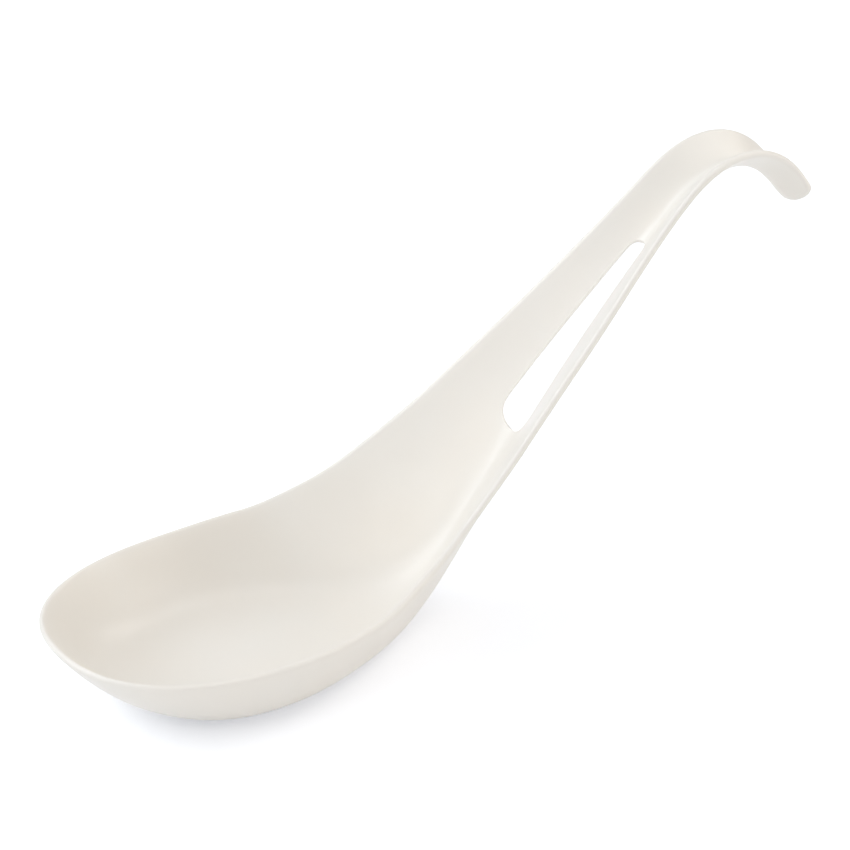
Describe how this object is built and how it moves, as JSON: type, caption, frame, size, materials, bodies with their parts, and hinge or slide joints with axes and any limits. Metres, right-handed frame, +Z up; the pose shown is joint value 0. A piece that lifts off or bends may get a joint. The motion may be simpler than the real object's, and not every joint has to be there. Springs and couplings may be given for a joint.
{
  "type": "soup spoon",
  "caption": "One-piece Asian soup spoon: deep oval bowl with a flat foot, channelled handle with a long slot, and an end curled over to hang on a bowl's rim.",
  "frame": {"origin": "on the table, in the plane of the flat foot, straight under the middle of the bowl", "axes": "+X from the bowl towards the handle and hook, +Y across the spoon, +Z up; the spoon is the same on both sides of the XZ plane"},
  "size_m": [0.1725, 0.0552, 0.0808],
  "materials": {
    "moulding": "satin off-white thermoset plastic with a soft sheen"
  },
  "bodies": {
    "root": {"spoon": "moulding"}
  },
  "joints": []
}
